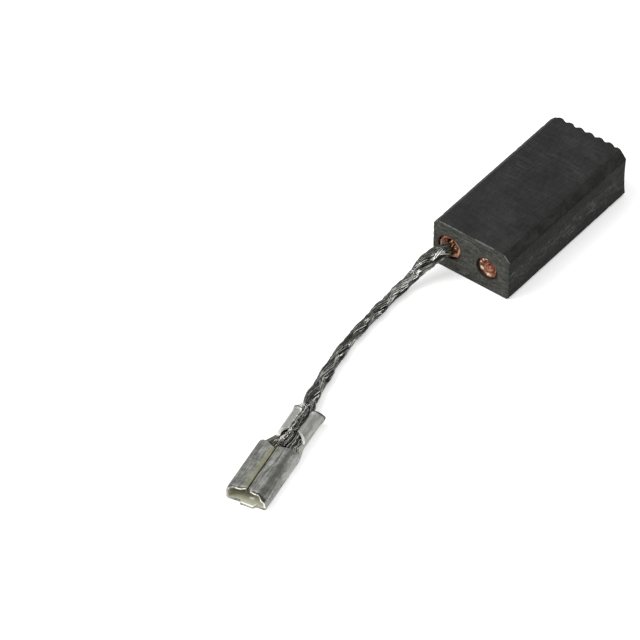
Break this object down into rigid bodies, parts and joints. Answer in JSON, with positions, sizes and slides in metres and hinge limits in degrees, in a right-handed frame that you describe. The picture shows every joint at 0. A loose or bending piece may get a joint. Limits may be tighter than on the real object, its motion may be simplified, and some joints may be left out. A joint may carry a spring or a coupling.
{
  "type": "carbon brush",
  "caption": "Self-stopping carbon brush: a graphite block with a ridged, curved contact face, a braided lead tamped into its rear and a folded push-on terminal.",
  "frame": {"origin": "under the middle of the carbon block, on the plane that the block lies on", "axes": "+X across the block's width, along the commutator's axis; +Y along the block's length, towards the face that rubs on the commutator; +Z through the block's thickness, upwards as it lies"},
  "size_m": [0.0082, 0.0498, 0.0049],
  "materials": {
    "graphite": "ground electrographite, matt charcoal grey with fine grinding lines and faint smears",
    "copper_powder": "tamped copper powder, brick pink with dark tarnish in the hollows",
    "tinned_braid": "fine braided copper wires, tinned and tarnished to dark grey with bright glints",
    "tinned_sheet": "tin-plated sheet, satin grey with bright cut edges and a warm tint by the seam",
    "spring_wire": "drawn spring wire, plain",
    "insulating_pin": "moulded insulating plastic, cream"
  },
  "bodies": {
    "root": {"carbon_block": "graphite", "wire_tamping": "copper_powder", "shunt_wire": "tinned_braid", "terminal": "tinned_sheet", "cutoff_plug": "copper_powder", "cutoff_spring": "spring_wire", "cutoff_pin": "insulating_pin"}
  },
  "joints": []
}
